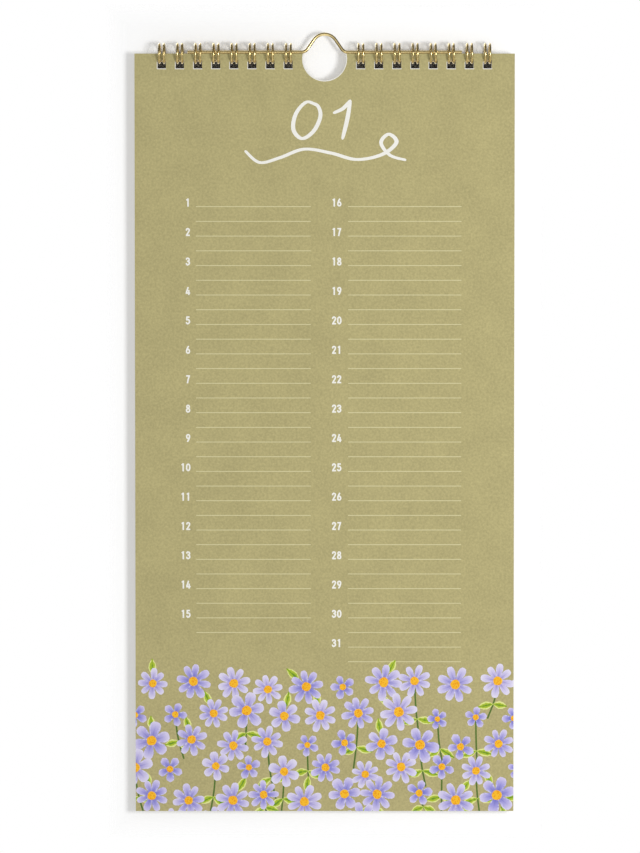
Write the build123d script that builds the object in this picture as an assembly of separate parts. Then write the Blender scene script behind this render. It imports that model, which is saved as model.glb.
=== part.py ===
from build123d import *
import math
import os

# A tall month-sheet wall calendar on twin-loop wire binding with a bent-wire hanger.
# Millimetres. The leaves face -Y, the wall is behind them at +Y and +Z is up.
# The origin is the underside of the hanger's arch at its peak, where the nail carries it.

# Leaves and backing board
page_width = 177.8
page_height = 355.6
leaf_thickness = 0.25
block_leaves = 11  # the leaves behind the front one
front_leaf_gap = 0.1  # air between the front leaf and the block
board_thickness = 0.8

# Slots, one for each pair of wire loops
ring_pitch = 25.4 / 3  # three slots to the inch
slot_width = 4.0
slot_height = 4.0
slot_edge_strip = 2.95  # paper left between the slots and the top edge
side_margin = 8.0  # least distance from a slot's centre to the page's side

# Thumb notch in the middle of the top edge, a round cut that takes in the hanger's arch
notch_radius = 10.1
notch_centre_depth = 2.5  # how far the cut's centre lies below the top edge
notch_land = 4.0  # least distance from the notch's corner to a slot's centre

# Twin-loop wire
wire_diameter = 1.0
ring_inner_radius = 3.9
slot_play_side = 0.4  # air between a wire and the slot's side
slot_play_top = 0.2  # air between a loop and the strip of paper that hangs on it
tip_play = 0.5  # how far behind the board a loop's centreline ends
spine_bend_radius = 0.9  # bend from the spine into a loop
spine_stub = 0.8  # cut end of the spine past the last loop
closing_angle = 28.0  # degrees left open between a loop's tip and its spine

# Hanger, one bent wire
hanger_diameter = 1.5
hanger_length = 128.4
hanger_play = 0.1  # air between the hanger and the leaves' top edges
arch_notch_play = 0.75  # how much narrower the arch's foot is than the notch, each side
arch_leg_angle = 55.0
arch_peak_radius = 6.1
arch_foot_radius = 3.25

# The stack of leaves and board is centred on the loops, front to back
block_thickness = block_leaves * leaf_thickness
stack_depth = leaf_thickness + front_leaf_gap + block_thickness + board_thickness
front_leaf_front = -stack_depth / 2
block_front = front_leaf_front + leaf_thickness + front_leaf_gap
board_front = block_front + block_thickness
board_back = board_front + board_thickness

# Notch, arch and heights
notch_half_chord = math.sqrt(notch_radius**2 - notch_centre_depth**2)
arch_foot_half_width = notch_half_chord - arch_notch_play
leg_slope = math.radians(arch_leg_angle)
arch_apex_height = arch_foot_half_width * math.tan(leg_slope)
arch_height = arch_apex_height - arch_peak_radius * (1 / math.cos(leg_slope) - 1)
hanger_axis_z = hanger_diameter / 2 - arch_height
page_top = hanger_axis_z - hanger_diameter / 2 - hanger_play

# Loops: the strip above each slot hangs on the inside of its loops
ring_radius = ring_inner_radius + wire_diameter / 2
pair_spacing = slot_width - 2 * slot_play_side - wire_diameter
ring_reach = math.sqrt(ring_inner_radius**2 - (stack_depth / 2) ** 2)
ring_axis_z = page_top - slot_edge_strip - slot_play_top + ring_reach
tip_angle = 180 + math.degrees(math.acos((board_back + tip_play) / ring_radius))
spine_angle = tip_angle - closing_angle

# Places of the pairs, counted in pitches out from the middle
first_pair = math.ceil((notch_half_chord + notch_land) / ring_pitch)
last_pair = math.floor((page_width / 2 - side_margin) / ring_pitch)
pair_places = [n * ring_pitch for n in range(first_pair, last_pair + 1)]


def sheet(front, thickness):
    """A leaf, block of leaves or board with its slots and its notch."""
    upright = Plane.XZ.offset(-front)
    outline = Pos(0, page_top - page_height / 2) * Rectangle(page_width, page_height)
    notch = Pos(0, page_top - notch_centre_depth) * Circle(notch_radius)
    slot_z = page_top - slot_edge_strip - slot_height / 2
    slots = [
        Pos(side * x, slot_z) * Rectangle(slot_width, slot_height)
        for side in (-1, 1)
        for x in pair_places
    ]
    face = outline - notch - slots
    return extrude(upright * face, amount=-thickness)


def ring_point(x, angle):
    """A point on a loop's centreline: 0 is the front, 90 the top and 180 the back."""
    turn = math.radians(angle)
    y = -ring_radius * math.cos(turn)
    z = ring_axis_z + ring_radius * math.sin(turn)
    return Vector(x, y, z)


def ring_tangent(angle):
    """The direction of a loop at an angle, from its spine up over the top."""
    turn = math.radians(angle)
    return Vector(0, -math.sin(turn), -math.cos(turn))


def loop_arc(x, start, end):
    """One loop of a pair, bent round from one angle to another."""
    middle = (start + end) / 2
    return Edge.make_three_point_arc(ring_point(x, start), ring_point(x, middle), ring_point(x, end))


def spine_bend(x, side):
    """The bend between the spine and a loop at x; side is which way the spine leaves."""
    rise = ring_tangent(spine_angle)
    loop_end = ring_point(x, spine_angle)
    corner = 1 - math.sqrt(0.5)
    middle = loop_end + Vector(side * spine_bend_radius * corner, 0, 0)
    middle -= rise * (spine_bend_radius * math.sqrt(0.5))
    spine_end = loop_end + Vector(side * spine_bend_radius, 0, 0) - rise * spine_bend_radius
    return loop_end, middle, spine_end


def tip_bend(x_from, x_to):
    """The hairpin at a pair's tip, a half turn in the loops' tangent plane."""
    reach = ring_tangent(tip_angle) * (-abs(x_to - x_from) / 2)
    middle = ring_point((x_from + x_to) / 2, tip_angle) - reach
    return Edge.make_three_point_arc(ring_point(x_from, tip_angle), middle, ring_point(x_to, tip_angle))


def binding_wire(places):
    """One continuous wire: a hairpin pair at each place, joined by the spine behind the board."""
    edges = []
    start_x = places[0] - pair_spacing / 2
    loop_end, middle, spine_end = spine_bend(start_x, -1)
    previous = spine_end - Vector(spine_stub, 0, 0)
    for place in places:
        left = place - pair_spacing / 2
        right = place + pair_spacing / 2
        loop_end, middle, spine_end = spine_bend(left, -1)
        edges.append(Edge.make_line(previous, spine_end))
        edges.append(Edge.make_three_point_arc(spine_end, middle, loop_end))
        edges.append(loop_arc(left, spine_angle, tip_angle - 360))
        edges.append(tip_bend(left, right))
        edges.append(loop_arc(right, tip_angle - 360, spine_angle))
        loop_end, middle, spine_end = spine_bend(right, 1)
        edges.append(Edge.make_three_point_arc(loop_end, middle, spine_end))
        previous = spine_end
    edges.append(Edge.make_line(previous, previous + Vector(spine_stub, 0, 0)))
    path = Wire(edges)
    section = Plane(origin=path @ 0, z_dir=path % 0) * Circle(wire_diameter / 2)
    return sweep(section, path=path)


def hanger():
    """The bent wire: two straight arms inside the loops and an arch over the notch."""
    half_length = hanger_length / 2
    points = [
        (-half_length, 0, hanger_axis_z),
        (-arch_foot_half_width, 0, hanger_axis_z),
        (0, 0, hanger_axis_z + arch_apex_height),
        (arch_foot_half_width, 0, hanger_axis_z),
        (half_length, 0, hanger_axis_z),
    ]
    path = FilletPolyline(*points, radius=[arch_foot_radius, arch_peak_radius, arch_foot_radius])
    section = Plane(origin=path @ 0, z_dir=path % 0) * Circle(hanger_diameter / 2)
    return sweep(section, path=path)


nodes = {
    "hanger": hanger(),
    "binding_wire_left": binding_wire([-x for x in reversed(pair_places)]),
    "binding_wire_right": binding_wire(pair_places),
    "backing_board": sheet(board_front, board_thickness),
    "page_block": sheet(block_front, block_thickness),
    "front_leaf": sheet(front_leaf_front, leaf_thickness),
}

os.makedirs("parts", exist_ok=True)
for name, shape in nodes.items():
    export_step(shape, f"parts/{name}.step")

print(f"leaf top {page_top:.3f}, hanger axis {hanger_axis_z:.3f}, loop axis {ring_axis_z:.3f}")
print(f"notch half chord {notch_half_chord:.3f}, loops from {tip_angle:.2f} to {spine_angle:.2f} degrees")
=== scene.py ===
import math
import random

import bmesh
import bpy
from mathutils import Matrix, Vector
from mathutils.geometry import delaunay_2d_cdt


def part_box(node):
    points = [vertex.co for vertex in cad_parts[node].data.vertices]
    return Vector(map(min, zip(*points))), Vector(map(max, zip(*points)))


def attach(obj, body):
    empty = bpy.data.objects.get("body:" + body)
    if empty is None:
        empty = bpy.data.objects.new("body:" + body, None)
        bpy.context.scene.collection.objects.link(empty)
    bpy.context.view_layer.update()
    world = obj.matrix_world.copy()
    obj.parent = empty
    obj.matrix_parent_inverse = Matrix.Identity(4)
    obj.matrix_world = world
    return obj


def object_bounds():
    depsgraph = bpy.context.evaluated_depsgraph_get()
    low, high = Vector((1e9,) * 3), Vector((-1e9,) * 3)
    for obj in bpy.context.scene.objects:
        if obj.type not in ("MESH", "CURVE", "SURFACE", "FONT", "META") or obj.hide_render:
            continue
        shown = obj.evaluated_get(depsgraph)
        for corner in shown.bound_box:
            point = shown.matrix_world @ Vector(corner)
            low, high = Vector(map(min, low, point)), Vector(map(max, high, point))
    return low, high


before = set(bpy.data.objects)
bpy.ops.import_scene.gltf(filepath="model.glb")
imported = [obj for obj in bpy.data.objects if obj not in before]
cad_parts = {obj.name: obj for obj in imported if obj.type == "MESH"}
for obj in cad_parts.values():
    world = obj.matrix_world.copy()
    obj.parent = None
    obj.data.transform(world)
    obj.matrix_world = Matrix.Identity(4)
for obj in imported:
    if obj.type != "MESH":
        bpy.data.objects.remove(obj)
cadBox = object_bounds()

mm = 0.001

leafLow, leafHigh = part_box("front_leaf")
blockLow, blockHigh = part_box("page_block")
pageTop = leafHigh.z
pageHalfWidth = leafHigh.x / mm
pageHeight = (leafHigh.z - leafLow.z) / mm


def colour(red, green, blue):  # a display colour, 0 to 255, as Blender's linear one
    def linear(value):
        value /= 255
        return value / 12.92 if value <= 0.04045 else ((value + 0.055) / 1.055) ** 2.4
    return (linear(red), linear(green), linear(blue), 1.0)


def setInputs(tree, node, inputs):  # links a socket, or sets a plain value
    for key, value in inputs.items():
        if isinstance(value, bpy.types.NodeSocket):
            tree.links.new(value, node.inputs[key])
        else:
            node.inputs[key].default_value = value


def addNode(tree, kind, inputs=None, **settings):
    node = tree.nodes.new(kind)
    for key, value in settings.items():
        setattr(node, key, value)
    setInputs(tree, node, inputs or {})
    return node


def maths(tree, operation, first, second=0.0, clamp=False):
    node = addNode(tree, "ShaderNodeMath", {0: first, 1: second}, operation=operation, use_clamp=clamp)
    return node.outputs[0]


def mixColour(tree, factor, first, second):
    node = addNode(tree, "ShaderNodeMix", {0: factor, 6: first, 7: second}, data_type="RGBA")
    return node.outputs[2]


def ramp(tree, factor, stops):
    node = addNode(tree, "ShaderNodeValToRGB", {"Fac": factor})
    elements = node.color_ramp.elements
    while len(elements) < len(stops):
        elements.new(1.0)
    for element, (place, value) in zip(elements, stops):
        element.position = place
        element.color = value
    return node.outputs["Color"]


def span(tree, value, low, high, newLow=0.0, newHigh=1.0):
    node = addNode(tree, "ShaderNodeMapRange", {
        "Value": value, "From Min": low, "From Max": high, "To Min": newLow, "To Max": newHigh})
    return node.outputs["Result"]


def newGroup(name, inputs, outputs):
    tree = bpy.data.node_groups.new(name, "ShaderNodeTree")
    for label, kind, default in inputs:
        socket = tree.interface.new_socket(label, in_out="INPUT", socket_type=kind)
        if default is not None:
            socket.default_value = default
    for label, kind in outputs:
        tree.interface.new_socket(label, in_out="OUTPUT", socket_type=kind)
    return tree, tree.nodes.new("NodeGroupInput").outputs, tree.nodes.new("NodeGroupOutput").inputs


def useGroup(tree, group, inputs):
    node = tree.nodes.new("ShaderNodeGroup")
    node.node_tree = group
    setInputs(tree, node, inputs)
    return node.outputs


def newMaterial(name, **sockets):
    material = bpy.data.materials.new(name)
    material.use_nodes = True
    shader = material.node_tree.nodes["Principled BSDF"]
    for key, value in sockets.items():
        shader.inputs[key.replace("_", " ")].default_value = value
    return material, material.node_tree, shader


def wireUp(tree, shader, colourSocket, roughness, height, depth):
    bump = addNode(tree, "ShaderNodeBump", {"Height": height, "Distance": depth, "Strength": 1.0})
    setInputs(tree, shader, {
        "Base Color": colourSocket, "Roughness": roughness, "Normal": bump.outputs["Normal"]})


def dress(material, *nodeNames):  # gives CAD nodes their finish
    for name in nodeNames:
        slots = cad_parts[name].data.materials
        slots.clear()
        slots.append(material)


def makeGrain():  # mottled colour and fine tooth, shared by paper, card and ink
    tree, given, out = newGroup("paperGrain", [
        ("Base", "NodeSocketColor", None), ("Shade", "NodeSocketColor", None),
        ("Fleck Scale", "NodeSocketFloat", 1500.0), ("Blotch Scale", "NodeSocketFloat", 60.0),
        ("Fleck Amount", "NodeSocketFloat", 1.0), ("Blotch Amount", "NodeSocketFloat", 1.0),
        ("Roughness", "NodeSocketFloat", 0.8),
    ], [("Color", "NodeSocketColor"), ("Roughness", "NodeSocketFloat"), ("Height", "NodeSocketFloat")])
    place = addNode(tree, "ShaderNodeTexCoord").outputs["Object"]
    fleck = addNode(tree, "ShaderNodeTexNoise", {
        "Vector": place, "Scale": given["Fleck Scale"], "Detail": 4.0, "Roughness": 0.65}).outputs[0]
    blotch = addNode(tree, "ShaderNodeTexNoise", {
        "Vector": place, "Scale": given["Blotch Scale"], "Detail": 3.0, "Roughness": 0.55}).outputs[0]
    fine = maths(tree, "MULTIPLY", maths(tree, "SUBTRACT", fleck, 0.5), given["Fleck Amount"])
    broad = maths(tree, "MULTIPLY", maths(tree, "SUBTRACT", blotch, 0.5), given["Blotch Amount"])
    both = maths(tree, "ADD", maths(tree, "ADD", fine, broad), 0.5, clamp=True)
    tree.links.new(mixColour(tree, both, given["Base"], given["Shade"]), out["Color"])
    uneven = maths(tree, "MULTIPLY", fine, 0.12)  # flecks are a little duller
    tree.links.new(maths(tree, "ADD", given["Roughness"], uneven), out["Roughness"])
    tree.links.new(fleck, out["Height"])
    return tree


grain = makeGrain()


paperLook = {
    "print": colour(191, 181, 128),      # olive khaki ground
    "printShade": colour(169, 160, 113),
    "core": colour(246, 244, 238),       # bare paper at cut edges and on the back
    "coreShade": colour(228, 225, 216),
    "fleckScale": 950.0,
    "fleckAmount": 2.6,
    "blotchScale": 60.0,
    "blotchAmount": 0.8,
    "roughness": 0.82,
    "bareFlecks": (900.0, 1.2),          # scale and amount on bare paper
    "bareBlotches": (30.0, 0.8),
    "bareRoughness": 0.88,
    "gapShadeAndGroove": colour(120, 114, 92),         # painted shade in the gaps between the leaves at a cut edge
    "gapAmount": 0.55,
    "gapReach": (0.36, 0.5),             # from a leaf's middle, in leaves
    "tooth": 0.012 * mm,
    "skin": 0.02 * mm,                   # how close to a face counts as that face
    "sheen": 0.25,
    "blockLeaves": 11,
}


def leafMaterial(name, front, back, leafCount):  # printed in front, bare behind, leaves lined at the edges with painted shade between them
    look = paperLook
    material, tree, shader = newMaterial(name, Specular_IOR_Level=look["sheen"])
    place = addNode(tree, "ShaderNodeTexCoord").outputs["Object"]
    depth = addNode(tree, "ShaderNodeSeparateXYZ", {"Vector": place}).outputs["Y"]
    printed = useGroup(tree, grain, {
        "Base": look["print"], "Shade": look["printShade"], "Fleck Scale": look["fleckScale"],
        "Blotch Scale": look["blotchScale"], "Fleck Amount": look["fleckAmount"],
        "Blotch Amount": look["blotchAmount"], "Roughness": look["roughness"]})
    bare = useGroup(tree, grain, {
        "Base": look["core"], "Shade": look["coreShade"], "Fleck Scale": look["bareFlecks"][0],
        "Blotch Scale": look["bareBlotches"][0], "Fleck Amount": look["bareFlecks"][1],
        "Blotch Amount": look["bareBlotches"][1], "Roughness": look["bareRoughness"]})
    inLeaf = maths(tree, "FRACT", maths(tree, "DIVIDE", maths(tree, "SUBTRACT", depth, front),
                                        (back - front) / leafCount))
    fromMiddle = maths(tree, "ABSOLUTE", maths(tree, "SUBTRACT", inLeaf, 0.5))
    # painted shade between the leaves, which the bump also presses in as a fine groove
    lining = look["gapAmount"] if leafCount > 1 else 0.0
    gapShadeAndGroove = maths(tree, "MULTIPLY", span(tree, fromMiddle, *look["gapReach"]), lining)
    edge = mixColour(tree, gapShadeAndGroove, bare["Color"], look["gapShadeAndGroove"])
    isBack = maths(tree, "GREATER_THAN", depth, back - look["skin"])
    isFront = maths(tree, "LESS_THAN", depth, front + look["skin"])
    body = mixColour(tree, isBack, edge, bare["Color"])
    skin = mixColour(tree, isFront, body, printed["Color"])
    height = maths(tree, "SUBTRACT", printed["Height"], gapShadeAndGroove)
    wireUp(tree, shader, skin, printed["Roughness"], height, look["tooth"])
    return material


boardLook = {
    "face": colour(226, 222, 211),
    "faceShade": colour(196, 190, 177),
    "fibre": colour(158, 150, 134),
    "fleckScale": 700.0,
    "fleckAmount": 1.5,
    "blotchScale": 25.0,
    "blotchAmount": 0.9,
    "roughness": 0.9,
    "fibreScale": 1800.0,
    "fibreStretch": (1.0, 1.0, 0.25),
    "fibreTilt": (0.0, 0.6, 0.0),
    "fibreRange": (0.64, 0.74),
    "fibreAmount": 0.6,
    "tooth": 0.02 * mm,
    "sheen": 0.25,
}


def boardMaterial():  # grey-white card with scattered fibres
    look = boardLook
    material, tree, shader = newMaterial("cardBoard", Specular_IOR_Level=look["sheen"])
    face = useGroup(tree, grain, {
        "Base": look["face"], "Shade": look["faceShade"], "Fleck Scale": look["fleckScale"],
        "Blotch Scale": look["blotchScale"], "Fleck Amount": look["fleckAmount"],
        "Blotch Amount": look["blotchAmount"], "Roughness": look["roughness"]})
    place = addNode(tree, "ShaderNodeTexCoord").outputs["Object"]
    stretched = addNode(tree, "ShaderNodeMapping", {
        "Vector": place, "Scale": look["fibreStretch"], "Rotation": look["fibreTilt"]}).outputs[0]
    strands = addNode(tree, "ShaderNodeTexNoise", {
        "Vector": stretched, "Scale": look["fibreScale"], "Detail": 2.0, "Distortion": 0.8}).outputs[0]
    fibres = span(tree, strands, *look["fibreRange"], 0.0, look["fibreAmount"])
    wireUp(tree, shader, mixColour(tree, fibres, face["Color"], look["fibre"]),
           face["Roughness"], face["Height"], look["tooth"])
    return material


def dressPaper():
    dress(leafMaterial("printedLeaf", leafLow.y, leafHigh.y, 1), "front_leaf")
    dress(leafMaterial("printedBlock", blockLow.y, blockHigh.y, paperLook["blockLeaves"]), "page_block")
    dress(boardMaterial(), "backing_board")
    print("paper dressed")


wireLook = {
    "gold": colour(255, 238, 186),
    "deep": colour(232, 202, 126),
    "tarnish": colour(126, 104, 52),
    "roughness": (0.15, 0.25),
    "drawMarks": 2600.0,
    "drawRange": (0.3, 0.7),
    "dulling": 140.0,        # scale of the dull patches
    "hangerDulling": 175.0,
    "dullRange": (0.56, 0.74),
    "dullAmount": 0.45,
    "hazeRange": (0.35, 0.7),
    "hazeAmount": 0.16,      # roughness that the patches add
    "tooth": 0.004 * mm,
}


def wireMaterial(name, patchScale):  # bright gold-coloured wire with fine draw marks and dull patches
    look = wireLook
    material, tree, shader = newMaterial(name, Metallic=1.0)
    place = addNode(tree, "ShaderNodeTexCoord").outputs["Object"]
    marks = addNode(tree, "ShaderNodeTexNoise", {
        "Vector": place, "Scale": look["drawMarks"], "Detail": 3.0}).outputs[0]
    patches = addNode(tree, "ShaderNodeTexNoise", {
        "Vector": place, "Scale": patchScale, "Detail": 4.0, "Roughness": 0.6}).outputs[0]
    base = mixColour(tree, span(tree, marks, *look["drawRange"]), look["gold"], look["deep"])
    dull = span(tree, patches, *look["dullRange"], 0.0, look["dullAmount"])
    worn = mixColour(tree, dull, base, look["tarnish"])
    roughness = maths(tree, "ADD", span(tree, patches, *look["hazeRange"], 0.0, look["hazeAmount"]),
                      span(tree, marks, *look["drawRange"], *look["roughness"]))
    wireUp(tree, shader, worn, roughness, marks, look["tooth"])
    return material


def dressWire():
    dress(wireMaterial("goldLoopWire", wireLook["dulling"]), "binding_wire_left", "binding_wire_right")
    dress(wireMaterial("goldHangerWire", wireLook["hangerDulling"]), "hanger")
    print("wire dressed")


inkLook = {"fleckScale": 2200.0, "fleckAmount": 1.2, "blotchScale": 180.0, "blotchAmount": 0.6,
           "roughness": 0.78, "tooth": 0.006 * mm, "sheen": 0.25}


def newInk(name):
    return newMaterial(name, Specular_IOR_Level=inkLook["sheen"])


def finishInk(tree, shader, base, shade):  # grain, gloss and tooth of dry ink
    look = inkLook
    grained = useGroup(tree, grain, {
        "Base": base, "Shade": shade, "Fleck Scale": look["fleckScale"], "Blotch Scale": look["blotchScale"],
        "Fleck Amount": look["fleckAmount"], "Blotch Amount": look["blotchAmount"],
        "Roughness": look["roughness"]})
    wireUp(tree, shader, grained["Color"], grained["Roughness"], grained["Height"], look["tooth"])


def plainInk(name, base, shade):
    material, tree, shader = newInk(name)
    finishInk(tree, shader, base, shade)
    return material


def readMark(tree, name):
    return addNode(tree, "ShaderNodeAttribute", attribute_name=name, attribute_type="GEOMETRY").outputs["Fac"]


petalLook = {
    "heart": colour(104, 108, 196),
    "middle": colour(158, 152, 222),
    "tip": colour(216, 206, 240),
    "paleHeart": colour(172, 160, 212),
    "paleMiddle": colour(206, 196, 232),
    "paleTip": colour(236, 230, 246),
    "streak": colour(240, 236, 250),
    "vein": colour(112, 112, 190),
    "dabScale": 900.0,
    "ribAmount": 0.75,
    "rimAmount": 0.7,
    "shadeAmount": 0.2,
}


def petalInk():  # brushed petals, deep at the heart and pale at the tip
    look = petalLook
    material, tree, shader = newInk("petalInk")
    along, across, tone = (readMark(tree, name) for name in ("along", "across", "tone"))
    strong = ramp(tree, along, [(0.15, look["heart"]), (0.55, look["middle"]), (0.95, look["tip"])])
    pale = ramp(tree, along, [(0.15, look["paleHeart"]), (0.5, look["paleMiddle"]), (0.95, look["paleTip"])])
    body = mixColour(tree, tone, strong, pale)
    place = addNode(tree, "ShaderNodeTexCoord").outputs["Object"]
    dabs = addNode(tree, "ShaderNodeTexNoise", {
        "Vector": place, "Scale": look["dabScale"], "Detail": 3.0}).outputs[0]
    rib = span(tree, across, 0.0, 0.28, look["ribAmount"], 0.0)
    ribbed = mixColour(tree, maths(tree, "MULTIPLY", rib, span(tree, along, 0.8, 0.2)), body, look["vein"])
    rim = maths(tree, "MULTIPLY", span(tree, across, 0.55, 0.9), span(tree, dabs, 0.42, 0.6))
    rimmed = mixColour(tree, maths(tree, "MULTIPLY", rim, look["rimAmount"]), ribbed, look["streak"])
    finishInk(tree, shader, rimmed, mixColour(tree, look["shadeAmount"], rimmed, look["heart"]))
    return material


heartLook = {"gold": colour(252, 196, 44), "orange": colour(232, 142, 14), "rim": colour(255, 222, 110),
             "dotScale": 1500.0, "rimAmount": 0.7, "shadeAmount": 0.25}


def heartInk():  # dotted flower centres, paler to one side
    look = heartLook
    material, tree, shader = newInk("heartInk")
    along = readMark(tree, "along")
    place = addNode(tree, "ShaderNodeTexCoord").outputs["Object"]
    dots = addNode(tree, "ShaderNodeTexVoronoi", {
        "Vector": place, "Scale": look["dotScale"]}).outputs["Distance"]
    dotted = mixColour(tree, span(tree, dots, 0.25, 0.5), look["orange"], look["gold"])
    rimmed = mixColour(tree, span(tree, along, 0.7, 1.0, 0.0, look["rimAmount"]), dotted, look["rim"])
    finishInk(tree, shader, rimmed, mixColour(tree, look["shadeAmount"], rimmed, look["orange"]))
    return material


foliageLook = {"leaf": colour(178, 198, 52), "deep": colour(104, 146, 40), "margin": colour(238, 240, 158),
               "dabScale": 700.0, "shake": 0.14, "shadeAmount": 0.25}


def foliageInk():  # green midrib, yellow-green blade and a pale margin
    look = foliageLook
    material, tree, shader = newInk("foliageInk")
    across = readMark(tree, "across")
    place = addNode(tree, "ShaderNodeTexCoord").outputs["Object"]
    dabs = addNode(tree, "ShaderNodeTexNoise", {
        "Vector": place, "Scale": look["dabScale"], "Detail": 2.0}).outputs[0]
    shaky = maths(tree, "ADD", across, span(tree, dabs, 0.3, 0.7, -look["shake"], look["shake"]))
    blade = ramp(tree, shaky, [
        (0.05, look["deep"]), (0.3, look["leaf"]), (0.6, look["leaf"]), (0.74, look["margin"])])
    finishInk(tree, shader, blade, mixColour(tree, look["shadeAmount"], blade, look["deep"]))
    return material


plainLook = {  # each plain ink's colour and its shade
    "white": (colour(250, 249, 244), colour(236, 234, 224)),
    "rule": (colour(226, 220, 174), colour(210, 203, 156)),
    "stem": (colour(98, 128, 52), colour(74, 104, 44)),
}


def makeInks():
    return {
        "white": plainInk("whiteInk", *plainLook["white"]),
        "rule": plainInk("ruleInk", *plainLook["rule"]),
        "core": plainInk("bareRim", paperLook["core"], paperLook["coreShade"]),
        "petal": petalInk(),
        "heart": heartInk(),
        "leaf": foliageInk(),
        "stem": plainInk("stemInk", *plainLook["stem"]),
    }


# The print is flat shapes laid on the page. A point is (across from the middle, down from the top) in mm.
inkThickness = 0.03 * mm
borderThickness = 0.045 * mm  # over the last rule line
joinWithin = 1e-4             # points closer than this, in mm, are one
squareSize = 4.0              # side of the squares that shapes are sorted into, in mm
thinnestBlade = 0.02          # half width, in mm, that a blade's tip counts as
flatWithin = math.radians(0.5)
inkOrder = ("white", "rule", "core", "petal", "heart", "leaf", "stem")


# An outline in one ink. A blade is a shape with a midline and marks along and across it: it has an origin,
# a direction, a length, its half widths at places along it, and a tone.
def shape(points, ink, blade=None, middle=()):
    return {"points": points, "ink": ink, "blade": blade, "middle": middle}


def marksAt(item, x, down):  # how far along and across its shape a point is, each from 0 to 1
    blade = item["blade"]
    if blade is None:
        return 0.0, 0.0, 0.0
    dx, dy = x - blade["origin"][0], down - blade["origin"][1]
    ux, uy = blade["toward"]
    along = min(max((dx * ux + dy * uy) / blade["length"], 0.0), 1.0)
    half = blade["sides"][-1][1]
    for (a, wide), (b, nextWide) in zip(blade["sides"], blade["sides"][1:]):
        if a <= along <= b:
            half = wide + (nextWide - wide) * (along - a) / (b - a)
    across = abs(dx * uy - dy * ux) / max(half, thinnestBlade)
    return along, min(across, 1.0), blade["tone"]


def covers(outline, x, down):
    inside = False
    for (x0, y0), (x1, y1) in zip(outline, outline[1:] + outline[:1]):
        if (y0 > down) != (y1 > down) and x < (x1 - x0) * (down - y0) / (y1 - y0) + x0:
            inside = not inside
    return inside


def byCell(shapes, cell):  # which shapes reach into each square of the page
    cells = {}
    for n, item in enumerate(shapes):
        xs, ys = zip(*item["points"])
        for column in range(math.floor(min(xs) / cell), math.floor(max(xs) / cell) + 1):
            for row in range(math.floor(min(ys) / cell), math.floor(max(ys) / cell) + 1):
                cells.setdefault((column, row), []).append(n)
    return cells


def joinFlatFaces(mesh):  # plain ink needs no more faces than its outline
    built = bmesh.new()
    built.from_mesh(mesh)
    bmesh.ops.dissolve_limit(built, angle_limit=flatWithin, verts=built.verts, edges=built.edges,
                             delimit={"MATERIAL"})
    built.to_mesh(mesh)
    built.free()


# One closed, very thin plate of ink from overlapping shapes. The last shape lies on top.
def printPlate(name, shapes, frontY, body, inks, thickness=inkThickness):
    page = [(-pageHalfWidth, 0), (pageHalfWidth, 0),
            (pageHalfWidth, pageHeight), (-pageHalfWidth, pageHeight)]
    points, lines = [], []
    for outline in [page] + [item["points"] for item in shapes]:
        first, count = len(points), len(outline)
        points += [Vector((x, -down)) for x, down in outline]
        lines += [(first + i, first + (i + 1) % count) for i in range(count)]
    for item in shapes:
        first, count = len(points), len(item["middle"])
        points += [Vector((x, -down)) for x, down in item["middle"]]
        lines += [(first + i, first + i + 1) for i in range(count - 1)]
    flat, _, triangles, _, _, _ = delaunay_2d_cdt(points, lines, [], 0, joinWithin)
    cells = byCell(shapes, squareSize)
    kept = []
    for t in triangles:
        x, y = (sum(flat[v][axis] for v in t) / 3 for axis in (0, 1))
        if abs(x) > pageHalfWidth or not 0 < -y < pageHeight:
            continue
        for n in reversed(cells.get((math.floor(x / squareSize), math.floor(-y / squareSize)), [])):
            if covers(shapes[n]["points"], x, -y):
                kept.append((t, n))
                break
    used = sorted({v for t, _ in kept for v in t})
    index = {v: i for i, v in enumerate(used)}
    count = len(used)
    verts = [(flat[v].x * mm, frontY - thickness, pageTop + flat[v].y * mm) for v in used]
    verts += [(x, frontY, z) for x, _, z in verts]
    edges = {}
    for t, owner in kept:
        for a, b in zip(t, (t[1], t[2], t[0])):
            edges[(a, b)] = owner
    polys, owners = [], []
    for t, owner in kept:
        front = [index[v] for v in t]
        polys.append(front)
        polys.append([v + count for v in reversed(front)])
        owners += [owner, owner]
    for (a, b), owner in edges.items():
        if (b, a) not in edges:
            polys.append([index[b], index[a], index[a] + count, index[b] + count])
            owners.append(owner)
    mesh = bpy.data.meshes.new(name)
    mesh.from_pydata(verts, [], polys)
    names = [n for n in inkOrder if any(item["ink"] == n for item in shapes)]
    for n in names:
        mesh.materials.append(inks[n])
    mesh.polygons.foreach_set("material_index", [names.index(shapes[o]["ink"]) for o in owners])
    marks = {mark: mesh.attributes.new(mark, "FLOAT", "CORNER") for mark in ("along", "across", "tone")}
    values = {mark: [] for mark in marks}
    for poly, owner in zip(mesh.polygons, owners):
        item = shapes[owner]
        for v in poly.vertices:
            x, _, z = verts[v]
            for mark, value in zip(marks, marksAt(item, x / mm, (pageTop - z) / mm)):
                values[mark].append(value)
    for mark, attribute in marks.items():
        attribute.data.foreach_set("value", values[mark])
    mesh.update()
    if not any(item["blade"] for item in shapes):
        joinFlatFaces(mesh)
    piece = bpy.data.objects.new(name, mesh)
    bpy.context.scene.collection.objects.link(piece)
    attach(piece, body)
    print(name, len(mesh.polygons), "faces")


rimLook = {
    "pitch": 25.4 / 3, "first": 2, "last": 9,       # places of the slots, counted from the middle
    "slot": 4.0, "slotTop": 2.95,
    "side": 0.24, "sideStart": 0.9,                 # width of the pale rim at the left, and where it starts
    "foot": 0.34, "footEnd": 0.1,
    "notchRadius": 10.1, "notchDown": 2.5, "notchRim": 0.4, "notchSteps": 48,
}


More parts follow.
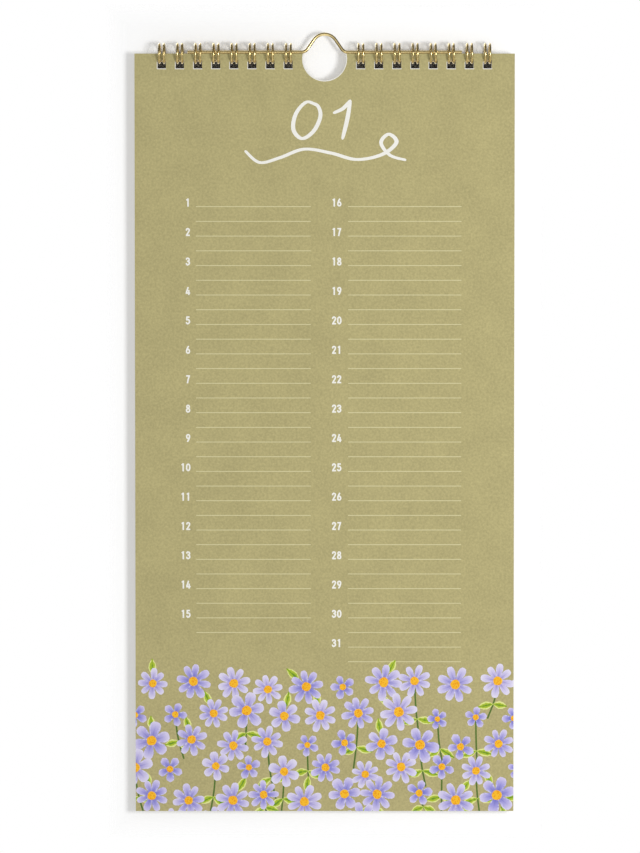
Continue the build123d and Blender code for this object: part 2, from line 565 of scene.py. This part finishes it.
def rimShapes():
    look = rimLook
    shapes = []
    for side in (-1, 1):
        for n in range(look["first"], look["last"] + 1):
            left = side * n * look["pitch"] - look["slot"] / 2
            right = left + look["slot"]
            top, foot = look["slotTop"], look["slotTop"] + look["slot"]
            for x0, y0, x1, y1 in ((left - look["side"], top + look["sideStart"], left, foot),
                                   (left - look["side"], foot, right + look["footEnd"], foot + look["foot"])):
                shapes.append(shape([(x0, y0), (x1, y0), (x1, y1), (x0, y1)], "core"))
    inner, outer = look["notchRadius"], look["notchRadius"] + look["notchRim"]
    start = math.asin(-look["notchDown"] / outer)
    steps = [start + (math.pi - 2 * start) * i / look["notchSteps"] for i in range(look["notchSteps"] + 1)]
    for a, b in zip(steps, steps[1:]):
        ring = [(r * math.cos(t), look["notchDown"] + r * math.sin(t))
                for r, t in ((inner, a), (outer, a), (outer, b), (inner, b))]
        shapes.append(shape([(x, max(y, 0.0)) for x, y in ring], "core"))
    return shapes


gridLook = {
    "firstLine": 71.4, "pitch": 6.893, "lineWidth": 0.34,
    "left": (-60.3, -6.5, 30), "right": (11.0, 64.1, 32),   # start, end and how many lines
    "numbersLeft": (-63.0, 1, 15), "numbersRight": (7.9, 16, 31),  # right edge, first and last number
    "digitHeight": 3.8, "digitHalf": 0.36, "digitStep": 2.42, "digitGap": 0.33,
    "curveSteps": 3, "dabSides": 8,
}


def ruleShapes():
    look = gridLook
    shapes = []
    for start, end, count in (look["left"], look["right"]):
        for n in range(count):
            middle = look["firstLine"] + n * look["pitch"]
            top, foot = middle - look["lineWidth"] / 2, middle + look["lineWidth"] / 2
            shapes.append(shape([(start, top), (end, top), (end, foot), (start, foot)], "rule"))
    return shapes


# Strokes of each digit, on a body one high and about half as wide. Heights count up from its foot.
digitStrokes = {
    "0": [[(0.1, 0.5), (0.1, 0.72), (0.275, 0.905), (0.45, 0.72), (0.45, 0.28), (0.275, 0.095), (0.1, 0.28),
           (0.1, 0.5)]],
    "1": [[(0.3, 0.0), (0.3, 1.0)], [(0.3, 0.9), (0.1, 0.79)]],
    "2": [[(0.1, 0.7), (0.14, 0.86), (0.275, 0.91), (0.43, 0.82), (0.42, 0.62), (0.27, 0.36), (0.13, 0.12)],
          [(0.03, 0.09), (0.52, 0.09)]],
    "3": [[(0.09, 0.74), (0.15, 0.88), (0.28, 0.905), (0.43, 0.8), (0.4, 0.61), (0.22, 0.535)],
          [(0.22, 0.53), (0.41, 0.46), (0.45, 0.24), (0.28, 0.095), (0.14, 0.13), (0.08, 0.28)]],
    "4": [[(0.31, 0.98), (0.08, 0.28)], [(0.0, 0.24), (0.55, 0.24)], [(0.38, 0.0), (0.38, 0.62)]],
    "5": [[(0.06, 0.91), (0.47, 0.91)], [(0.15, 0.91), (0.12, 0.52)],
          [(0.12, 0.54), (0.27, 0.61), (0.43, 0.5), (0.45, 0.26), (0.28, 0.095), (0.14, 0.13), (0.08, 0.26)]],
    "6": [[(0.36, 0.97), (0.2, 0.7), (0.1, 0.4), (0.13, 0.17), (0.275, 0.095), (0.43, 0.18), (0.44, 0.42),
           (0.29, 0.57), (0.14, 0.48)]],
    "7": [[(0.04, 0.91), (0.52, 0.91)], [(0.43, 0.9), (0.3, 0.5), (0.2, 0.0)]],
    "8": [[(0.275, 0.53), (0.13, 0.66), (0.15, 0.84), (0.275, 0.91), (0.4, 0.84), (0.42, 0.66), (0.275, 0.53),
           (0.1, 0.38), (0.12, 0.16), (0.275, 0.09), (0.43, 0.16), (0.45, 0.38), (0.275, 0.53)]],
    "9": [[(0.19, 0.03), (0.35, 0.3), (0.45, 0.6), (0.42, 0.83), (0.275, 0.905), (0.12, 0.82), (0.11, 0.58),
           (0.26, 0.43), (0.41, 0.52)]],
}


def numberShapes(lastDay):  # bold narrow day numbers, each set to the right against its line
    look = gridLook
    shapes = []
    high = look["digitHeight"]
    for edge, first, last in (look["numbersLeft"], look["numbersRight"]):
        for day in range(first, min(last, lastDay) + 1):
            foot = look["firstLine"] + 2 * (day - first) * look["pitch"]
            start = edge - len(str(day)) * look["digitStep"] + look["digitGap"]
            for place, digit in enumerate(str(day)):
                left = start + place * look["digitStep"]
                for points in digitStrokes[digit]:
                    line = [(left + x * high, foot - up * high) for x, up in points]
                    steps = look["curveSteps"] if len(line) > 2 else 1
                    shapes += stroke(line, "white", look["digitHalf"], 0.0, steps, look["dabSides"],
                                     capped=False)
    return shapes


brushLook = {
    "steps": 14,
    "dabSides": 12,
    "tip": 0.55,       # half width at a stroke's ends
    "swell": 0.45,     # how much wider the middle is
    "zero": [(-3.2, 24.4), (-8.4, 22.6), (-13.4, 28.0), (-14.6, 35.4), (-10.6, 39.6),
             (-5.2, 36.2), (-2.0, 29.4), (-3.2, 24.4), (-6.6, 22.9)],
    "one": [[(4.4, 27.6), (8.6, 25.6), (12.0, 22.0)], [(12.0, 22.0), (10.6, 30.6), (8.4, 39.6)]],
    "two": [[(4.0, 27.8), (6.8, 23.4), (11.6, 22.6), (13.6, 26.6), (10.0, 32.4), (4.4, 38.4)],
            [(4.4, 38.4), (8.2, 36.8), (11.4, 39.4), (14.8, 37.2)]],
    "flourish": [(-37.0, 45.6), (-30.4, 50.8), (-21.0, 48.6), (-9.6, 44.6), (3.0, 46.4), (15.0, 49.4),
                 (27.0, 47.0), (33.6, 41.4), (30.0, 37.6), (26.4, 41.6), (30.6, 47.4), (37.7, 49.6)],
}


def smoothLine(points, steps):  # a rounded line through given points
    padded = [points[0]] + list(points) + [points[-1]]
    line = []
    for p0, p1, p2, p3 in zip(padded, padded[1:], padded[2:], padded[3:]):
        for i in range(steps):
            t = i / steps
            line.append(tuple(
                0.5 * (2 * b + (c - a) * t + (2 * a - 5 * b + 4 * c - d) * t * t
                       + (3 * b - a - 3 * c + d) * t ** 3)
                for a, b, c, d in zip(p0, p1, p2, p3)))
    line.append(tuple(points[-1]))
    return line


def disc(x, y, radius, ink, sides):
    ring = [(x + radius * math.cos(math.tau * i / sides), y + radius * math.sin(math.tau * i / sides))
            for i in range(sides)]
    return shape(ring, ink)


# Short quads with a round dab at each joint, and at the ends of a capped stroke
def stroke(points, ink, tip, swell, steps, dabSides, capped=True):
    line = smoothLine(points, steps)
    shapes = []
    last = len(line) - 1
    halves = []
    for i, (x, y) in enumerate(line):
        x0, y0 = line[max(i - 1, 0)]
        x1, y1 = line[min(i + 1, last)]
        run = math.hypot(x1 - x0, y1 - y0) or 1.0
        steep = abs(y1 - y0) / run  # down strokes press harder
        halves.append(tip + swell * math.sin(math.pi * i / last) ** 0.5 * (0.25 + 0.75 * steep))
    for i in range(last):
        (x0, y0), (x1, y1) = line[i], line[i + 1]
        run = math.hypot(x1 - x0, y1 - y0) or 1.0
        nx, ny = -(y1 - y0) / run, (x1 - x0) / run
        h0, h1 = halves[i], halves[i + 1]
        quad = [(x0 + nx * h0, y0 + ny * h0), (x1 + nx * h1, y1 + ny * h1),
                (x1 - nx * h1, y1 - ny * h1), (x0 - nx * h0, y0 - ny * h0)]
        shapes.append(shape(quad, ink))
        if i or capped:
            shapes.append(disc(x0, y0, h0, ink, dabSides))
    if capped:
        shapes.append(disc(*line[-1], halves[-1], ink, dabSides))
    return shapes


def monthShapes(second):
    look = brushLook
    shapes = []
    for points in [look["zero"]] + look[second] + [look["flourish"]]:
        shapes += stroke(points, "white", look["tip"], look["swell"], look["steps"], look["dabSides"])
    return shapes


borderLook = {
    "top": 290.5, "ragged": 4.0,
    "columns": 10, "rows": 5,
    "radius": (7.2, 9.6), "smallRadius": (5.2, 6.8),
    "heart": 0.26,
    "jitter": 2.2,
    "stemHalf": 0.38,
    "leafLength": (6.2, 8.4), "leafHalf": 1.9,
}


def bladeShape(ink, origin, angle, length, half, sides, tone=0.0):  # a petal or leaf with its midline
    x, y = origin
    ux, uy = math.cos(angle), math.sin(angle)
    side = [(along * length, wide * half) for along, wide in sides]
    outline = side + [(along, -wide) for along, wide in reversed(side) if wide]
    points = [(x + ux * a - uy * w, y + uy * a + ux * w) for a, w in outline]
    middle = [(x + ux * a, y + uy * a) for a, _ in side]
    blade = {"origin": origin, "toward": (ux, uy), "length": length, "tone": tone,
             "sides": [(along, wide * half) for along, wide in sides]}
    return shape(points, ink, blade, middle)


petalSides = {  # half widths along a petal, both as parts of its own size
    "pointed": [(0.12, 0.35), (0.38, 0.72), (0.65, 1.0), (0.84, 0.88), (0.955, 0.3), (1.0, 0.0)],
    "rounded": [(0.12, 0.35), (0.38, 0.72), (0.65, 1.0), (0.84, 0.9), (0.96, 0.55), (0.985, 0.0)],
}
leafSides = [(0.0, 0.06), (0.18, 0.62), (0.42, 1.0), (0.68, 0.82), (0.88, 0.36), (1.0, 0.0)]


bloomKinds = {  # number of petals, half width of a petal as part of its length, and its outline
    "cosmos": (8, 0.25, "rounded"),
    "star": (5, 0.36, "pointed"),
    "round": (6, 0.33, "rounded"),
}


def bloom(draw, x, y, radius, kind):
    petals, fatness, outline = bloomKinds[kind]
    tone = draw.uniform(0.0, 0.25) if kind == "star" else draw.uniform(0.2, 1.0)
    spin = draw.uniform(0, math.tau)
    shapes = []
    order = list(range(0, petals, 2)) + list(range(1, petals, 2))
    for n in order:
        angle = spin + math.tau * n / petals + draw.uniform(-0.07, 0.07)
        reach = radius * draw.uniform(0.9, 1.0)
        half = reach * fatness * draw.uniform(0.88, 1.0) * 0.9
        shade = min(max(tone + draw.uniform(-0.15, 0.15), 0.0), 1.0)
        shapes.append(bladeShape("petal", (x, y), angle, reach, half, petalSides[outline], shade))
    heart = radius * borderLook["heart"]
    ring = [(x + heart * draw.uniform(0.9, 1.06) * math.cos(math.tau * i / 14),
             y + heart * draw.uniform(0.9, 1.06) * math.sin(math.tau * i / 14)) for i in range(14)]
    blade = {"origin": (x, y), "toward": (1, 0), "length": heart, "tone": 0.0,
             "sides": [(0.0, heart), (1.0, heart)]}
    shapes.append(shape(ring, "heart", blade, [(x, y)]))
    return shapes


def foliage(x, y, angle, length, half):
    return bladeShape("leaf", (x, y), angle, length, half, leafSides)


def stem(points, half):
    line = smoothLine(points, 8)
    shapes = []
    for (x0, y0), (x1, y1) in zip(line, line[1:]):
        run = math.hypot(x1 - x0, y1 - y0) or 1.0
        nx, ny = -(y1 - y0) / run * half, (x1 - x0) / run * half
        quad = [(x0 + nx, y0 + ny), (x1 + nx, y1 + ny), (x1 - nx, y1 - ny), (x0 - nx, y0 - ny)]
        shapes.append(shape(quad, "stem"))
        shapes.append(disc(x1, y1, half, "stem", 8))
    return shapes


def borderShapes(seed):  # staggered rows of blooms over leafy stems, cut off by the page's edges
    look = borderLook
    draw = random.Random(seed)
    stems, leaves, blooms = [], [], []
    height = pageHeight - look["top"]
    across = 2 * pageHalfWidth / look["columns"]
    down = height / look["rows"]
    for row in range(look["rows"] + 1):
        for column in range(-1, look["columns"] + 1):
            middle = (column + 0.5 + 0.5 * (row % 2)) * across - pageHalfWidth
            x = middle + draw.uniform(-1, 1) * look["jitter"]
            y = look["top"] + (row + 0.5) * down + draw.uniform(-1, 1) * look["jitter"]
            if row == 0:
                y += draw.uniform(-0.5, 1.0) * look["ragged"]
            kind = draw.choice(["cosmos", "cosmos", "round", "star"])
            radius = draw.uniform(*(look["smallRadius"] if kind == "star" else look["radius"]))
            blooms += bloom(draw, x, y, radius, kind)
            lean = draw.uniform(-5, 5)
            foot = min(y + draw.uniform(16, 30), pageHeight + 2)
            if draw.random() < 0.42 and foot > y + radius:
                stems += stem([(x, y), (x + lean * 0.3, (y + foot) / 2), (x + lean, foot)], look["stemHalf"])
                joint = (x + lean * 0.45, y + (foot - y) * 0.62)
                for turn in (0.35, math.pi - 0.35):
                    leaves.append(foliage(*joint, turn + draw.uniform(-0.3, 0.3),
                                          draw.uniform(*look["leafLength"]), look["leafHalf"]))
            elif draw.random() < 0.3:
                angle = draw.uniform(-2.6, -0.5)
                start = (x + radius * 0.55 * math.cos(angle), y + radius * 0.55 * math.sin(angle))
                leaves.append(foliage(*start, angle, draw.uniform(*look["leafLength"]), look["leafHalf"]))
    return stems + leaves + blooms


def printSheet(prefix, frontY, body, inks, second, seed, lastDay):
    printPlate(prefix + "PunchedRims", rimShapes(), frontY, body, inks)
    printPlate(prefix + "RuleLines", ruleShapes(), frontY, body, inks)
    printPlate(prefix + "MonthNumber", monthShapes(second), frontY, body, inks)
    printPlate(prefix + "DayNumbers", numberShapes(lastDay), frontY, body, inks)
    printPlate(prefix + "FlowerBorder", borderShapes(seed), frontY, body, inks, borderThickness)


studio = {
    "wallGap": 0.2 * mm, "wallSize": 4.0, "wallColour": colour(252, 252, 252),
    # slotPaintedShade is painted shade: the wall's colour and glow go this dark where ambient occlusion finds
    # the wall closed in, as behind the slots
    "slotPaintedShade": colour(20, 13, 8), "slotReach": 9 * mm, "slotOpenness": (0.26, 0.46), "wallGlow": 0.085,
    "wallFade": (3.5 * mm, 14 * mm),  # how far past the object the wall starts and ends fading into the white
    "ambient": 0.6,
    "key": {"turn": 31.0, "rise": 1.0, "distance": 1.0, "power": 4.4, "size": 0.24},
    "back": {"turn": 205.0, "rise": 25.0, "distance": 1.1, "power": 2.5, "size": 0.5},
    "distance": 1.5, "rise": 1.9, "viewHeight": 0.4002, "sideways": -2.16 * mm, "aimDown": 174.4 * mm,
}


def makeWall():  # a pale wall for the shadows, seen only by the camera and from the front, with painted shade making it dark behind the slots
    half = studio["wallSize"] / 2
    y = cadBox[1].y + studio["wallGap"]
    mesh = bpy.data.meshes.new("studioWall")
    corners = [(-half, y, -half), (half, y, -half), (half, y, half), (-half, y, half)]
    mesh.from_pydata(corners, [], [(0, 1, 2, 3)])
    wall = bpy.data.objects.new("studioWall", mesh)
    bpy.context.scene.collection.objects.link(wall)
    material = bpy.data.materials.new("studioWall")
    material.use_nodes = True
    tree = material.node_tree
    shader = tree.nodes["Principled BSDF"]
    # painted shade: where little of the wall is open within reach, its colour and glow fade to the dark slot
    # colour
    nearby = addNode(tree, "ShaderNodeAmbientOcclusion", {"Distance": studio["slotReach"]}, samples=8)
    openness = span(tree, nearby.outputs["AO"], *studio["slotOpenness"])
    wallWithPaintedShade = mixColour(tree, openness, studio["slotPaintedShade"], studio["wallColour"])
    tree.links.new(wallWithPaintedShade, shader.inputs["Base Color"])
    tree.links.new(wallWithPaintedShade, shader.inputs["Emission Color"])
    shader.inputs["Emission Strength"].default_value = studio["wallGlow"]
    shader.inputs["Roughness"].default_value = 1.0
    shader.inputs["Specular IOR Level"].default_value = 0.0
    clear = addNode(tree, "ShaderNodeBsdfTransparent").outputs[0]
    behind = addNode(tree, "ShaderNodeNewGeometry").outputs["Backfacing"]
    axes = addNode(tree, "ShaderNodeSeparateXYZ", {
        "Vector": addNode(tree, "ShaderNodeTexCoord").outputs["Object"]}).outputs
    beside = maths(tree, "SUBTRACT", maths(tree, "ABSOLUTE", axes["X"]), cadBox[1].x)
    above = maths(tree, "SUBTRACT", axes["Z"], cadBox[1].z)
    below = maths(tree, "SUBTRACT", cadBox[0].z, axes["Z"])
    outside = maths(tree, "MAXIMUM", maths(tree, "MAXIMUM", above, below), beside)
    fade = maths(tree, "MAXIMUM", behind, span(tree, outside, *studio["wallFade"]))
    mix = addNode(tree, "ShaderNodeMixShader", {0: fade, 1: shader.outputs[0], 2: clear})
    tree.links.new(mix.outputs[0], tree.nodes["Material Output"].inputs["Surface"])
    mesh.materials.append(material)
    for ray in ("diffuse", "glossy", "shadow"):
        setattr(wall, "visible_" + ray, False)


def makeWorld():  # even soft light, but metal sees it dim above and to the sides
    world = bpy.data.worlds.new("studioWorld")
    bpy.context.scene.world = world
    world.use_nodes = True
    tree = world.node_tree
    tree.nodes.clear()
    path = addNode(tree, "ShaderNodeLightPath").outputs
    direction = addNode(tree, "ShaderNodeTexCoord").outputs["Generated"]
    axes = addNode(tree, "ShaderNodeSeparateXYZ", {"Vector": direction}).outputs
    sides = ramp(tree, maths(tree, "ABSOLUTE", axes["X"]), [
        (0.2, (1, 1, 1, 1)), (0.5, (0.2, 0.19, 0.16, 1)), (0.85, (0.04, 0.04, 0.03, 1))])
    above = span(tree, axes["Z"], 0.0, 0.35)
    above = maths(tree, "MULTIPLY", above, span(tree, axes["Y"], 0.55, 0.2))
    sides = mixColour(tree, maths(tree, "MULTIPLY", above, 0.88), sides, (0.06, 0.055, 0.04, 1))
    seen = maths(tree, "MAXIMUM", path["Is Camera Ray"], path["Is Transmission Ray"])
    shown = mixColour(tree, seen, sides, (1, 1, 1, 1))
    bright = addNode(tree, "ShaderNodeBackground", {"Color": shown, "Strength": 1.0}).outputs[0]
    even = addNode(tree, "ShaderNodeBackground", {
        "Color": (1, 1, 1, 1), "Strength": studio["ambient"]}).outputs[0]
    direct = maths(tree, "MAXIMUM", seen, path["Is Glossy Ray"])
    mix = addNode(tree, "ShaderNodeMixShader", {0: direct, 1: even, 2: bright})
    tree.links.new(mix.outputs[0], addNode(tree, "ShaderNodeOutputWorld").inputs["Surface"])


def addLamp(name, target, turn, rise, distance, power, size):
    lamp = bpy.data.lights.new(name, "AREA")
    lamp.energy = power
    lamp.size = size
    holder = bpy.data.objects.new(name, lamp)
    bpy.context.scene.collection.objects.link(holder)
    turn, rise = math.radians(turn), math.radians(rise)
    away = Vector((math.sin(turn) * math.cos(rise), -math.cos(turn) * math.cos(rise), math.sin(rise)))
    holder.location = target + away * distance
    holder.rotation_euler = (-away).to_track_quat("-Z", "Y").to_euler()


def makeStudio():
    look = studio
    middle = (cadBox[0] + cadBox[1]) / 2
    makeWall()
    makeWorld()
    addLamp("keyLamp", middle, **look["key"])
    addLamp("backLamp", middle, **look["back"])
    lens = bpy.data.cameras.new("camera")
    holder = bpy.data.objects.new("camera", lens)
    bpy.context.scene.collection.objects.link(holder)
    rise = math.radians(look["rise"])
    back = Vector((0, -math.cos(rise), math.sin(rise)))
    aim = Vector((look["sideways"], leafLow.y, pageTop - look["aimDown"]))
    holder.location = aim + back * look["distance"]
    holder.rotation_euler = (-back).to_track_quat("-Z", "Y").to_euler()
    lens.lens = lens.sensor_width * look["distance"] / look["viewHeight"]
    lens.clip_start, lens.clip_end = 0.01, 20.0
    bpy.context.scene.camera = holder
    bpy.context.scene.view_settings.view_transform = "Standard"
    print("studio ready")


makeStudio()
dressPaper()
dressWire()
inks = makeInks()
printSheet("front", leafLow.y, "front_leaf", inks, "one", 11, 31)
printSheet("next", blockLow.y, "calendar", inks, "two", 29, 28)
